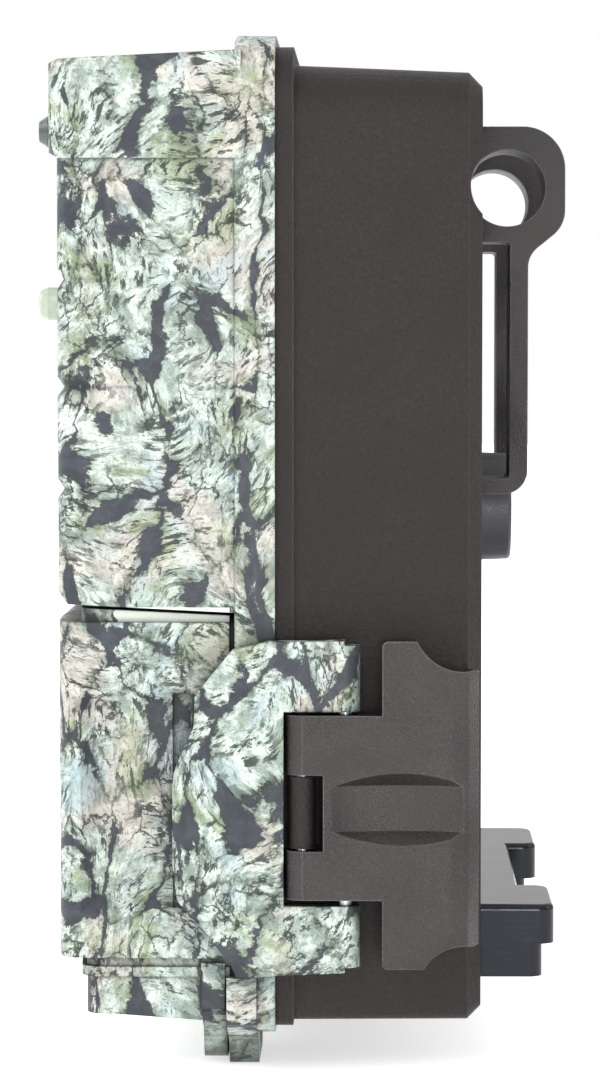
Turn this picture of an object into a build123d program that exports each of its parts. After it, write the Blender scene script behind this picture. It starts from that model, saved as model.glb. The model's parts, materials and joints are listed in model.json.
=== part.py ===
from build123d import *
import math
import os

# Trail camera: a camouflage front housing with a lower door, a brown rear case,
# an over-centre side latch, two strap brackets and a trunk foot.
# Millimetres. +Z up, the lens looks along -Y, the latch is on the +X side.
# Origin: mouth of the tripod socket in the bottom face.

# ---- Driving dimensions ----------------------------------------------------------
# Widths, as half sizes from the middle plane
HALF_RIM = 48.0
HALF_BROW = 47.8
HALF_FRONT = 47.2
HALF_FLANGE = 47.3
HALF_CASE = 46.6
HALF_INSIDE = 43.4

# Depths, front to back
BROW_Y = -47.4
FACE_Y = -46.3
DOOR_REAR_Y = -22.4
RIM_FRONT_Y = -21.7
DECK_REAR_Y = -19.7
PART_Y = -16.0
FLANGE_REAR_Y = -13.5
BACK_Y = 12.9
CROWN = 2.0

# Heights
RIM_TOP_Z = 137.5
RIM_BOTTOM_Z = -2.4
FLANGE_TOP_Z = 136.0
FLANGE_BOTTOM_Z = -1.6
CASE_TOP_Z = 133.5
CASE_BOTTOM_Z = -0.8
BROW_TOP_Z = 133.9
BROW_TOP_REAR_Z = 135.1
BROW_BOTTOM_Z = 120.2
MODULE_BOTTOM_Z = 58.1
GAP_FALL = 0.049
GAP_FRONT_Y = -44.5
DOOR_TOP_Z = 57.6
DOOR_BOTTOM_Z = -0.9
GROOVE_HEIGHTS = (103.5, 88.5, 74.2)

WALL = 2.4
TOP_CORNER = 7.0
LOW_CORNER = 3.0
DRAFT_DEG = 2.4
SLIP = 0.06

# Latch: F is the fixed pivot of the lever, L the pivot of the hook plate on the lever
PIVOT_F = (50.9, -12.1)
PIVOT_L = (50.2, -6.2)
LATCH_PIN_R = 1.0
KNUCKLE_Z = (24.6, 34.6)
LEVER_NARROW_Z = (17.5, 43.2)
LEVER_OUT_X = 53.4

# Door hinge on the -X side
HINGE = (-50.2, -22.0)
HINGE_R = 2.2
HINGE_PIN_R = 1.0
HINGE_HEIGHTS = (14.0, 44.0)

# Mounting interfaces
THREAD_R = 2.55
REAR_SOCKET_Z = 69.75
COLLAR_END_Y = 18.4
LOCK_HOLE_R = 5.4
LOCK_HOLE = (16.6, 116.5)
BRACKET_X = (22.0, 35.5)
STRAP_SLOT_Z = (75.3, 108.9)
STRAP_SLOT_Y = 17.05
STRAP_BAR_Y = 19.6
PADLOCK_R = 2.3
PADLOCK_Z = -4.8
TAB_X = (18.0, 42.0)
RIB_DEPTH = 1.8
FOOT_HALF = 40.0

# Inside
SCREW_PLACES = [(sx * 40.0, z) for z in (6.6, 64.0, 127.4) for sx in (-1, 1)]
TRAY_X = (-36.8, 18.2)
TRAY_Z = (7.6, 54.6)
TRAY_Y = (-21.5, 8.6)
CELL_R = 7.15
CELL_PITCH = 14.9
CELL_LENGTH = 50.5
PANEL_X = (19.4, 43.2)
PANEL_Z = (10.4, 55.0)
SCREEN_X = (20.6, 42.4)
SCREEN_Z = (39.4, 54.0)
SWITCH_X = 25.0
SWITCH_Z = 14.0
CARD_X = (40.6, 42.7)
CARD_Z = (13.6, 37.6)
KEY_CENTRE = (28.8, 27.0)
KEY_PITCH = 6.0
KEY_R = 2.2
LENS_Z = 96.0
PIR_Z = 73.5
LED_Z = 112.0
SENSOR_DOME = (0.0, 126.6)
INDICATOR = (20.0, 100.3)
NUB_R = 2.45
MICROPHONE = (-30.0, 66.5)
BOTTOM_BOSS_TOP_Z = 7.2
PORT_X = 28.0
PORT_FLAP_TOP_Z = 1.2
PORT_FLAP_LOW_Z = -0.4
SMALL_SCREW_R = 0.8


# ---- Small helpers ---------------------------------------------------------------
def block(x0, x1, y0, y1, z0, z1):
    """Box between two opposite corners."""
    centre = Pos((x0 + x1) / 2, (y0 + y1) / 2, (z0 + z1) / 2)
    return centre * Box(x1 - x0, y1 - y0, z1 - z0)


def rod_x(x0, x1, y, z, radius):
    """Cylinder along X."""
    return Plane(origin=(x0, y, z), z_dir=(1, 0, 0)) * extruded_disc(radius, x1 - x0)


def rod_y(y0, y1, x, z, radius):
    """Cylinder along Y."""
    return Plane(origin=(x, y0, z), z_dir=(0, 1, 0)) * extruded_disc(radius, y1 - y0)


def rod_z(z0, z1, x, y, radius):
    """Cylinder along Z."""
    return Plane(origin=(x, y, z0), z_dir=(0, 0, 1)) * extruded_disc(radius, z1 - z0)


def extruded_disc(radius, length):
    """Cylinder that starts at the local origin."""
    return extrude(Circle(radius), amount=length)


def front_plate(y0, y1, half_x, z0, z1, corner, low_corner=None):
    """Plate seen from the front with rounded corners, the lower ones smaller if asked."""
    face = make_face(Polyline((-half_x, z0), (half_x, z0), (half_x, z1), (-half_x, z1), close=True))
    face = fillet([v for v in face.vertices() if v.Y > z1 - 0.1], corner)
    face = fillet([v for v in face.vertices() if v.Y < z0 + 0.1], low_corner or corner)
    plane = Plane(origin=(0, y1, 0), x_dir=(1, 0, 0), z_dir=(0, -1, 0))
    return extrude(plane * face, amount=y1 - y0)


def window_prism(x, z, width, height, corner, y0, y1):
    """Rounded-rectangle prism along Y around a point of the front."""
    plane = Plane(origin=(x, y0, z), x_dir=(1, 0, 0), z_dir=(0, 1, 0))
    return extrude(plane * RectangleRounded(width, height, corner), amount=y1 - y0)


def side_prism(points, x0, x1):
    """Prism along X from an outline in Y and Z."""
    face = make_face(Polyline(*points, close=True))
    return extrude(Plane.YZ.offset(x0) * face, amount=x1 - x0)


def plan_prism(points, z0, z1):
    """Prism along Z from an outline in X and Y."""
    face = make_face(Polyline(*points, close=True))
    return extrude(Plane.XY.offset(z0) * face, amount=z1 - z0)


def edges_near(solid, axis, low, high):
    """Edges parallel to an axis whose centre lies in a box."""
    found = []
    for edge in solid.edges().filter_by(axis):
        centre = tuple(edge.center())
        if all(low[i] <= centre[i] <= high[i] for i in range(3)):
            found.append(edge)
    return found


def write(name, shape):
    """Write one node as STEP."""
    shape.label = name
    export_step(shape, os.path.join("parts", name + ".step"))


# ---- Housing ---------------------------------------------------------------------
def crowned_plan(half_x, face_y, rear_half_x, rear_y, corner):
    """Plan outline with a bowed front and straight sides."""
    front = ThreePointArc((-half_x, face_y), (0, face_y - CROWN), (half_x, face_y))
    sides = Polyline((half_x, face_y), (rear_half_x, rear_y), (-rear_half_x, rear_y), (-half_x, face_y))
    plan = make_face(Curve() + front + sides)
    corners = [v for v in plan.vertices() if v.Y < rear_y - 1]
    return fillet(corners, corner)


def crowned(half_x, face_y, rear_y, z0, z1, corner):
    """Upright block whose front face bows forward in plan."""
    plan = crowned_plan(half_x, face_y, half_x, rear_y, corner)
    return extrude(Plane.XY.offset(z0) * plan, amount=z1 - z0)


def groove_cutter(z):
    """V groove across the front that fades out along the sides."""
    depth = 0.9
    half_height = 1.4
    fade_y = -31.0
    plan = crowned_plan(HALF_FRONT, FACE_Y, HALF_FRONT + 1.2, fade_y, 3.2)
    taper = math.degrees(math.atan(depth / half_height))
    lower = extrude(Plane.XY.offset(z - half_height) * plan, amount=half_height, taper=taper)
    upper = mirror(lower, about=Plane.XY.offset(z))
    outer = block(-52, 52, -54, fade_y - 1.5, z - half_height, z + half_height)
    return outer - lower - upper


def gap_side(front_z, limit_z):
    """Prism on one side of the plane that falls towards the rim, above the door."""
    def height(y):
        return front_z - (y - GAP_FRONT_Y) * GAP_FALL
    return side_prism([(-60, height(-60)), (-18, height(-18)), (-18, limit_z), (-60, limit_z)], -60, 60)


def module_outer():
    """Upper front module: crowned block with a proud brow and a falling underside."""
    body = crowned(HALF_FRONT, FACE_Y, RIM_FRONT_Y + 1, MODULE_BOTTOM_Z - 2, 130.0, 3.2)
    body -= gap_side(MODULE_BOTTOM_Z, 40)
    bevel = [(-60, MODULE_BOTTOM_Z - 1), (-45.0, MODULE_BOTTOM_Z - 1),
             (-45.0, MODULE_BOTTOM_Z), (-60, MODULE_BOTTOM_Z + 17.0)]
    body -= side_prism(bevel, -60, 60)
    brow = crowned(HALF_BROW, BROW_Y, RIM_FRONT_Y + 1, BROW_BOTTOM_Z, BROW_TOP_REAR_Z, 3.2)
    top_cut = [(-60, BROW_TOP_Z - 6), (BROW_Y + 1.0, BROW_TOP_Z),
               (RIM_FRONT_Y, BROW_TOP_REAR_Z), (RIM_FRONT_Y, 140), (-60, 140)]
    under_cut = [(-60, BROW_BOTTOM_Z + 8), (FACE_Y + 0.2, BROW_BOTTOM_Z), (-60, BROW_BOTTOM_Z)]
    brow -= side_prism(top_cut, -60, 60)
    brow -= side_prism(under_cut, -60, 60)
    return body + brow


def housing_knuckle(z):
    """Middle knuckle of one door hinge, fixed to the rim band."""
    x, y = HINGE
    barrel = rod_z(z - 2.5, z + 2.5, x, y, HINGE_R)
    leaf = block(x, -HALF_RIM + 0.5, y + 0.2, PART_Y - 0.5, z - 2.5, z + 2.5)
    return barrel + leaf - rod_z(z - 3, z + 3, x, y, HINGE_PIN_R + 0.02)


def padlock_tab(y0, y1, top_z, bottom_z, rib_x, rib_top_z):
    """Tapered tab with a padlock hole below the body, and a rib up the latch side."""
    x0, x1 = TAB_X
    plane = Plane(origin=(0, y0, 0), x_dir=(1, 0, 0), z_dir=(0, -1, 0))
    points = [(x0, top_z), (x1, top_z), (x1 - 4, bottom_z), (x0 + 4, bottom_z)]
    outline = make_face(Polyline(*points, close=True))
    lower = [v for v in outline.vertices() if v.Y < bottom_z + 1]
    outline = fillet(lower, 3.0)
    rib = [(x1 - 4, top_z), (rib_x - RIB_DEPTH, top_z), (rib_x - RIB_DEPTH, rib_top_z),
           (rib_x, rib_top_z), (rib_x, top_z + 0.6), (x1 - 1, top_z - 3)]
    rib_face = make_face(Polyline(*rib, close=True))
    tab = extrude(plane * outline, amount=-(y1 - y0)) + extrude(plane * rib_face, amount=-(y1 - y0))
    return tab - rod_y(y0 - 1, y1 + 1, (x0 + x1) / 2, PADLOCK_Z, PADLOCK_R)


def front_housing():
    """Upper module, rim band, deck behind the door, hinge knuckles and rear padlock tab."""
    body = module_outer()
    for z in GROOVE_HEIGHTS:
        body -= groove_cutter(z)
    rim = front_plate(RIM_FRONT_Y, PART_Y, HALF_RIM, RIM_BOTTOM_Z, RIM_TOP_Z, TOP_CORNER, LOW_CORNER)
    rim = fillet(rim.faces().sort_by(Axis.Y)[0].edges(), 0.8)
    body += rim
    body -= crowned(HALF_FRONT - WALL, FACE_Y + WALL, RIM_FRONT_Y + 2,
                    MODULE_BOTTOM_Z + WALL, BROW_TOP_Z - WALL, 1.5)
    body -= front_plate(RIM_FRONT_Y + 1, PART_Y + 1, 44.6, MODULE_BOTTOM_Z + WALL, 133.0, 4.0)
    body -= front_plate(DECK_REAR_Y, PART_Y + 1, 44.6, 2.2, MODULE_BOTTOM_Z, 1.0)
    seal_seat = front_plate(PART_Y - 1.0, PART_Y + 1, 44.6, 2.2, 133.0, 4.0)
    body -= seal_seat - front_plate(PART_Y - 2, PART_Y + 2, HALF_INSIDE - 0.3, 3.3, 130.7, 3.0)
    for x, z in SCREW_PLACES:
        body += rod_y(RIM_FRONT_Y + 0.4, PART_Y, x, z, 3.1)
        side = math.copysign(1, x)
        low_x, high_x = sorted((x, side * 45.0))
        body += block(low_x, high_x, RIM_FRONT_Y + 0.4, PART_Y - 1.2, z - 1.2, z + 1.2)
        body -= rod_y(RIM_FRONT_Y + 1.4, PART_Y + 1, x, z, 1.3)
    for x0, x1, z0, z1 in (TRAY_X + TRAY_Z, PANEL_X + PANEL_Z):
        body -= block(x0 - 0.3, x1 + 0.3, RIM_FRONT_Y - 1, DECK_REAR_Y + 1, z0 - 0.3, z1 + 0.3)
    body -= window_prism(0, LED_Z, 77.0, 13.6, 3.0, -60, -40)
    body -= rod_y(-60, -40, 0, LENS_Z, 6.9)
    body -= window_prism(0, PIR_Z, 35.0, 21.0, 4.0, -60, -40)
    for x, z in (SENSOR_DOME, INDICATOR):
        body -= rod_y(-60, -40, x, z, NUB_R + SLIP)
    body -= rod_y(-60, -40, MICROPHONE[0], MICROPHONE[1], 0.8)
    body += padlock_tab(-22.8, -18.6, RIM_BOTTOM_Z + 1.0, -8.6, HALF_RIM + 0.6, 5.8)
    for z in HINGE_HEIGHTS:
        body += housing_knuckle(z)
    return body


def drafted_tub():
    """Outer block of the rear case: drafted on three sides, flat below, bevelled at the back."""
    spare = 12.0
    height = CASE_TOP_Z + spare
    plane = Plane(origin=(0, FLANGE_REAR_Y, CASE_TOP_Z - height / 2), x_dir=(1, 0, 0), z_dir=(0, 1, 0))
    outline = plane * RectangleRounded(2 * HALF_CASE, height, TOP_CORNER)
    tub = extrude(outline, amount=BACK_Y - FLANGE_REAR_Y, taper=DRAFT_DEG)
    tub -= block(-60, 60, -30, 30, -30, CASE_BOTTOM_Z)
    lowest = [e for e in tub.edges() if abs(e.center().Z - CASE_BOTTOM_Z) < 0.01]
    lower_sides = [e for e in lowest if abs(e.center().X) > 40]
    tub = fillet(lower_sides, LOW_CORNER - 0.5)
    return chamfer(tub.faces().sort_by(Axis.Y)[-1].edges(), 1.9)


def rear_case():
    """Drafted tub with flange, shelf, screw columns, latch knuckle and strap channel."""
    body = drafted_tub()
    body += front_plate(PART_Y, FLANGE_REAR_Y, HALF_FLANGE, FLANGE_BOTTOM_Z, FLANGE_TOP_Z,
                        TOP_CORNER, LOW_CORNER)
    inside_z = (3.0, 130.2)
    body -= front_plate(PART_Y - 1, BACK_Y - 2.5, HALF_INSIDE, inside_z[0], inside_z[1], 3.0)
    body += block(-HALF_INSIDE, HALF_INSIDE, PART_Y + 0.3, BACK_Y - 2, 56.0, 58.0)
    for x, z in SCREW_PLACES:
        body += rod_y(PART_Y, BACK_Y - 1, x, z, 3.2)
        body -= rod_y(PART_Y - 1, BACK_Y + 1, x, z, 1.45)
        body -= rod_y(PART_Y + 6.0, BACK_Y + 1, x, z, 2.4)
    for x, z in bracket_screw_places() + foot_screw_places():
        body -= rod_y(BACK_Y - 4, BACK_Y + 1, x, z, SMALL_SCREW_R + 0.15)
    body += rod_x(-HALF_INSIDE, HALF_INSIDE, LOCK_HOLE[0], LOCK_HOLE[1], LOCK_HOLE_R + 2.0) & block(
        -HALF_INSIDE, HALF_INSIDE, 0, BACK_Y - 2, 100, 130)
    body -= rod_x(-60, 60, LOCK_HOLE[0], LOCK_HOLE[1], LOCK_HOLE_R)
    body += rod_y(0.5, BACK_Y - 1, 0, REAR_SOCKET_Z, 6.4)
    body -= rod_y(0, BACK_Y + 1, 0, REAR_SOCKET_Z, 4.6)
    body += rod_z(0.0, BOTTOM_BOSS_TOP_Z, 0, 0, 6.4)
    body -= rod_z(-1, BOTTOM_BOSS_TOP_Z + 1, 0, 0, 4.6)
    body += latch_knuckle()
    body -= block(PORT_X - 7.5, PORT_X + 7.5, -6.0, 4.0, -1, PORT_FLAP_TOP_Z + 0.1)
    for x in (PORT_X - 3.4, PORT_X + 3.6):
        body -= rod_z(-1, 4, x, -1.0, 3.0)
    return body


def latch_knuckle():
    """Knuckle that holds the lever's fixed pivot, between the two lever barrels."""
    x, y = PIVOT_F
    low, high = KNUCKLE_Z
    barrel = rod_z(low, high, x, y, 1.9)
    web = block(HALF_CASE - 0.8, x, y - 1.5, y + 1.5, low, high)
    return barrel + web - rod_z(low - 1, high + 1, x, y, LATCH_PIN_R + 0.01)


def housing_gasket():
    """Seal between front housing and rear case."""
    outer = front_plate(PART_Y - 0.9, PART_Y - 0.02, 44.5, 2.3, 132.9, 3.9)
    inner = front_plate(PART_Y - 2, PART_Y + 1, HALF_INSIDE - 0.2, 3.2, 130.8, 3.0)
    return outer - inner


def housing_screws():
    """Six screws from the back through the rear case into the front housing."""
    screws = Part()
    for x, z in SCREW_PLACES:
        screws += rod_y(RIM_FRONT_Y + 2.4, PART_Y + 6.0, x, z, 1.25)
        head = rod_y(PART_Y + 6.0, PART_Y + 8.2, x, z, 2.25)
        head -= block(x - 0.4, x + 0.4, PART_Y + 7.2, PART_Y + 9, z - 1.6, z + 1.6)
        head -= block(x - 1.6, x + 1.6, PART_Y + 7.2, PART_Y + 9, z - 0.4, z + 0.4)
        screws += head
    return screws


# ---- Front face: flash, lens, sensors --------------------------------------------
def face_layer(depth, thickness):
    """Crowned layer that follows the front face, from a depth behind it."""
    front = crowned(HALF_FRONT - 4, FACE_Y + depth, -40, 58, 136, 1.0)
    back = crowned(HALF_FRONT - 3, FACE_Y + depth + thickness, -38, 57, 137, 1.0)
    return front - back


def led_window():
    """Dark window of the infrared flash, with a thinner flange behind."""
    return face_layer(0.15, 2.0) & window_prism(0, LED_Z, 76.8, 13.4, 2.9, -60, -38)


def led_board():
    return block(-36.5, 36.5, -39.2, -37.6, LED_Z - 6.3, LED_Z + 6.3)


def ir_leds():
    """Rows of domed infrared emitters on the board."""
    emitters = Part()
    radius = 1.5
    for row in range(3):
        for column in range(12):
            x = (column - 5.5) * 6.0
            z = LED_Z + (row - 1) * 4.4
            body = rod_y(-42.4, -39.2, x, z, radius)
            dome = Pos(x, -42.4, z) * Sphere(radius)
            rim = rod_y(-40.0, -39.2, x, z, radius + 0.25)
            emitters += body + dome + rim
    return emitters


def lens_bezel():
    """Stepped ring around the lens."""
    ring = rod_y(-48.3, -43.2, 0, LENS_Z, 6.8)
    cone = Plane(origin=(0, -48.31, LENS_Z), z_dir=(0, 1, 0)) * extrude(Circle(6.2), amount=2.0, taper=28)
    ring -= cone
    return ring - rod_y(-50, -40, 0, LENS_Z, 4.6)


def lens_cover():
    return rod_y(-45.6, -44.5, 0, LENS_Z, 4.55)


def lens_barrel():
    """Lens barrel with a domed front element and a focus collar."""
    barrel = rod_y(-43.0, -27.5, 0, LENS_Z, 4.6)
    barrel += rod_y(-34.0, -30.0, 0, LENS_Z, 6.0)
    barrel -= rod_y(-44, -40.5, 0, LENS_Z, 3.4)
    dome = Pos(0, -36.6, LENS_Z) * Sphere(4.8)
    return barrel + (dome & rod_y(-44, -38, 0, LENS_Z, 3.4))


def camera_module():
    """Sensor housing and its board behind the barrel."""
    holder = block(-8, 8, -27.5, -22.0, LENS_Z - 8, LENS_Z + 7.6)
    board = block(-11, 11, -22.0, -20.6, LENS_Z - 10, LENS_Z + 7.6)
    return holder + board


def nub(x, z, tip_y, tip_radius, root_y):
    """Round stud through the face with a tapered end."""
    stem = rod_y(tip_y + 1.3, root_y, x, z, NUB_R)
    taper = math.degrees(math.atan((NUB_R - tip_radius) / 1.3))
    tip = Plane(origin=(x, tip_y + 1.3, z), z_dir=(0, -1, 0))
    cap = tip * extrude(Circle(NUB_R), amount=1.3, taper=taper)
    flange = rod_y(root_y - 1.4, root_y, x, z, NUB_R + 1.2)
    return stem + cap + flange


def light_sensor_dome():
    return nub(SENSOR_DOME[0], SENSOR_DOME[1], -53.2, 1.6, -44.4)


def indicator_lens():
    lens = nub(INDICATOR[0], INDICATOR[1], -51.3, 1.9, -43.9)
    tip = lens.faces().sort_by(Axis.Y)[0]
    return fillet(tip.edges(), 0.7)


def pir_lens():
    """Motion sensor lens, a thin faceted cover flush with the face."""
    lens = face_layer(0.1, 1.4) & window_prism(0, PIR_Z, 34.8, 20.8, 3.9, -60, -38)
    for i in range(1, 3):
        z = PIR_Z - 10.4 + i * 20.8 / 3
        lens -= block(-17, 17, -50, FACE_Y - 1.3, z - 0.12, z + 0.12)
    return lens


def pir_sensor():
    can = rod_y(-39.0, -35.0, 0, PIR_Z, 4.1)
    base = rod_y(-35.8, -35.0, 0, PIR_Z, 4.6)
    return can + base


def pir_board():
    return block(-9, 9, -35.0, -33.6, PIR_Z - 9, PIR_Z + 9)


def microphone():
    return rod_y(-43.5, -40.5, MICROPHONE[0], MICROPHONE[1], 2.9)


# ---- Electronics in the rear case ------------------------------------------------
def main_board():
    board = block(-36, 36, -13.0, -11.4, 61.0, 129.0)
    for x in (-33, 33):
        board -= rod_y(-14, -10, x, 95.0, 1.6)
    return board


def board_components():
    """Chips, connectors and capacitors on the front of the main board."""
    places = [
        (-20, 116, 14, 14, 1.6), (6, 114, 12, 12, 1.4), (24, 112, 9, 13, 1.2),
        (-22, 92, 12, 9, 1.2), (22, 92, 10, 6, 2.4), (-18, 74, 16, 5, 3.2),
        (16, 72, 22, 5, 3.0), (-30, 103, 4, 6, 2.0), (31, 80, 4, 7, 2.2),
    ]
    parts = Part()
    for x, z, width, height, depth in places:
        parts += block(x - width / 2, x + width / 2, -13.0 - depth, -13.0, z - height / 2, z + height / 2)
    for x in (-6, 2):
        parts += rod_y(-18.5, -13.0, x, 84.0, 3.0)
    return parts


def ribbon_cable():
    """Flat cable from the main board down to the keypad board, ahead of the shelf."""
    points = [(-16.15, 46.0), (-15.98, 55.0), (-15.98, 61.2), (-14.6, 62.8), (-13.02, 62.8),
              (-13.02, 62.6), (-14.5, 62.6), (-15.78, 61.0), (-15.78, 55.0), (-15.95, 46.0)]
    return side_prism(points, 24.0, 34.0)


# ---- Control panel behind the door -----------------------------------------------
def key_places():
    """Five keys in a cross."""
    x, z = KEY_CENTRE
    return {
        "key_ok": (x, z),
        "key_up": (x, z + KEY_PITCH),
        "key_down": (x, z - KEY_PITCH),
        "key_left": (x - KEY_PITCH, z),
        "key_right": (x + KEY_PITCH, z),
    }


def control_panel():
    """Panel plate with openings for screen, keys, switch and card."""
    plate = block(PANEL_X[0], PANEL_X[1], RIM_FRONT_Y + 0.1, DECK_REAR_Y + 0.1, PANEL_Z[0], PANEL_Z[1])
    flange = block(PANEL_X[0] - 0.5, PANEL_X[1] + 0.5, DECK_REAR_Y + 0.05, DECK_REAR_Y + 0.85,
                   PANEL_Z[0] - 0.4, PANEL_Z[1] + 0.5)
    panel = plate + flange
    for x, z in key_places().values():
        panel -= rod_y(-30, DECK_REAR_Y + 2, x, z, KEY_R + 0.15)
        panel -= rod_y(DECK_REAR_Y - 0.6, DECK_REAR_Y + 2, x, z, KEY_R + 0.75)
    panel -= block(SCREEN_X[0], SCREEN_X[1], -30, DECK_REAR_Y + 2, SCREEN_Z[0], SCREEN_Z[1])
    panel -= block(SWITCH_X - 2.2, SWITCH_X + 8.2, -30, DECK_REAR_Y + 2, SWITCH_Z - 1.6, SWITCH_Z + 1.6)
    slot_x = (CARD_X[0] - 0.25, CARD_X[1] + 0.25)
    panel -= block(*slot_x, -30, DECK_REAR_Y + 2, CARD_Z[0] - 0.25, CARD_Z[1] + 0.25)
    return panel


def lcd_glass():
    return block(SCREEN_X[0] + 0.1, SCREEN_X[1] - 0.1, -21.4, -20.2, SCREEN_Z[0] + 0.1, SCREEN_Z[1] - 0.1)


def lcd_module():
    return block(SCREEN_X[0] + 0.2, SCREEN_X[1] - 0.2, -20.2, -18.0, SCREEN_Z[0] + 0.2, SCREEN_Z[1] - 0.2)


def keypad_board():
    """Board behind the panel with a dome switch under each key."""
    board = block(PANEL_X[0] + 0.5, CARD_X[0] - 1.0, -17.4, -16.2, 11.0, 51.0)
    for x, z in key_places().values():
        board += rod_y(-18.0, -17.4, x, z, 1.8)
    return board


def key_cap(name):
    """One key: a cap through the panel with a flange behind it."""
    x, z = key_places()[name]
    cap = rod_y(-22.9, -19.2, x, z, KEY_R)
    cap = fillet(cap.faces().sort_by(Axis.Y)[0].edges(), 0.5)
    return cap + rod_y(-19.9, -18.9, x, z, KEY_R + 0.45)


def power_switch():
    """Sliding switch knob with grip ridges."""
    knob = block(SWITCH_X - 1.9, SWITCH_X + 1.9, -22.9, -18.3, SWITCH_Z - 1.4, SWITCH_Z + 1.4)
    for i in (-1, 0, 1):
        knob -= block(SWITCH_X + i - 0.2, SWITCH_X + i + 0.2, -23.5, -22.5, SWITCH_Z - 2, SWITCH_Z + 2)
    return knob


def sd_card():
    """Memory card, pushed in with its label edge towards the door."""
    card = block(CARD_X[0], CARD_X[1], -23.4, 8.6, CARD_Z[0], CARD_Z[1])
    return chamfer(edges_near(card, Axis.X, (40, 8, 30), (43, 9, 40)), 3.0)


def sd_socket():
    """Sheet-metal card cage."""
    x0, x1 = CARD_X[0] - 0.7, CARD_X[1] + 0.5
    cage = block(x0, x1, -15.5, 9.2, CARD_Z[0] - 0.8, CARD_Z[1] + 0.8)
    return cage - block(CARD_X[0] - 0.15, CARD_X[1] + 0.15, -20, 8.8, CARD_Z[0] - 0.2, CARD_Z[1] + 0.2)


# ---- Batteries -------------------------------------------------------------------
def cell_places():
    """Centres of the six cells in Y and Z."""
    mid_y = (TRAY_Y[0] + TRAY_Y[1]) / 2
    mid_z = (TRAY_Z[0] + TRAY_Z[1]) / 2
    places = []
    for i in (-0.5, 0.5):
        for j in (-1, 0, 1):
            places.append((mid_y + i * CELL_PITCH, mid_z + j * CELL_PITCH))
    return places


def battery_tray():
    """Tray with a finger loop, cut away round the six cells."""
    x0, x1 = TRAY_X
    tray = block(x0, x1, TRAY_Y[0], TRAY_Y[1], TRAY_Z[0], TRAY_Z[1])
    for y, z in cell_places():
        tray -= rod_x(x0 + 1.0, x1 - 1.0, y, z, CELL_R + 0.2)
    front_cells_y = cell_places()[0][0]
    tray -= block(x0 + 8, x1 - 8, TRAY_Y[0] - 1, front_cells_y - 2.0, TRAY_Z[0] + 5, TRAY_Z[1] - 5)
    tray += block(x0 + 24, x0 + 31, TRAY_Y[0], TRAY_Y[0] + 0.35, TRAY_Z[0] + 4, TRAY_Z[1] - 4)
    rear_cells_y = cell_places()[-1][0]
    tray -= block(x0 + 8, x1 - 8, rear_cells_y + 2.0, TRAY_Y[1] + 1, TRAY_Z[0] + 5, TRAY_Z[1] - 5)
    return tray


def battery_cells():
    """Six AA cells laid across the case."""
    cells = Part()
    start = TRAY_X[0] + 1.0 + 1.8
    for y, z in cell_places():
        cells += rod_x(start, start + CELL_LENGTH - 1.3, y, z, CELL_R)
        cells += rod_x(start + CELL_LENGTH - 1.3, start + CELL_LENGTH, y, z, 2.7)
    return cells


def battery_springs():
    """Short coil at the flat end of each cell, drawn as stacked turns."""
    springs = Part()
    base = TRAY_X[0] + 1.0
    for y, z in cell_places():
        plane = Plane(origin=(base + 0.35, y, z), z_dir=(1, 0, 0))
        springs += rod_x(base, base + 0.4, y, z, 4.0)
        springs += plane * (Pos(0, 0, 0.35) * Torus(3.4, 0.35))
        springs += plane * (Pos(0, 0, 0.9) * Torus(3.1, 0.35))
    return springs


def battery_contacts():
    """Flat plates at the other end of the cells."""
    contacts = Part()
    start = TRAY_X[0] + 1.0 + 1.8 + CELL_LENGTH
    for y, z in cell_places():
        contacts += block(start + 0.02, start + 0.42, y - 3.5, y + 3.5, z - 3.5, z + 3.5)
    return contacts


# ---- Rear fittings ---------------------------------------------------------------
def strap_bracket(side):
    """Bracket with a webbing slot below a cable-lock hole."""
    x0, x1 = BRACKET_X
    slot_low, slot_high = STRAP_SLOT_Z
    hole_y, hole_z = LOCK_HOLE
    ring_y, ring_top = 24.8, 125.2
    points = [(BACK_Y, slot_low - 2.2), (STRAP_BAR_Y, slot_low - 2.2), (STRAP_BAR_Y, 107.0),
              (ring_y, 111.2), (ring_y, ring_top), (BACK_Y, ring_top)]
    outline = make_face(Polyline(*points, close=True))
    for near_z, radius in ((slot_low - 2.2, 3.4), (107.0, 3.5), (111.2, 4.5), (ring_top, 6.0)):
        corner = [v for v in outline.vertices() if abs(v.Y - near_z) < 0.01 and v.X > BACK_Y + 1]
        outline = fillet(corner, radius)
    slot = make_face(Polyline((BACK_Y - 1, slot_low), (STRAP_SLOT_Y, slot_low), (STRAP_SLOT_Y, slot_high),
                              (BACK_Y - 1, slot_high), close=True))
    slot_corners = [v for v in slot.vertices() if v.X > BACK_Y]
    slot = fillet(slot_corners, 0.6)
    body = extrude(Plane.YZ.offset(x0) * (outline - slot), amount=x1 - x0)
    body -= rod_x(x0 - 1, x1 + 1, hole_y, hole_z, LOCK_HOLE_R)
    if side < 0:
        body = mirror(body, about=Plane.YZ)
    return body


def foot_outline(reach, z0, z1, corner):
    """Plan outline of the foot with two prongs."""
    notch = 19.0
    points = [(-FOOT_HALF, BACK_Y), (-FOOT_HALF, reach), (-21, reach), (-21, notch), (21, notch),
              (21, reach), (FOOT_HALF, reach), (FOOT_HALF, BACK_Y)]
    face = make_face(Polyline(*points, close=True))
    tips = [v for v in face.vertices() if v.Y > reach - 0.1]
    face = fillet(tips, corner)
    return extrude(Plane.XY.offset(z0) * face, amount=z1 - z0)


def trunk_foot():
    """Glossy foot that presses against the tree, in two tiers."""
    foot = foot_outline(23.5, 9.3, 14.9, 2.2)
    top_edges = foot.edges().filter_by(Plane.XY).group_by(Axis.Z)[-1]
    foot = fillet([e for e in top_edges if e.center().Y > BACK_Y + 1], 0.8)
    return foot + foot_outline(21.8, 4.6, 9.3, 2.0)


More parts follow.
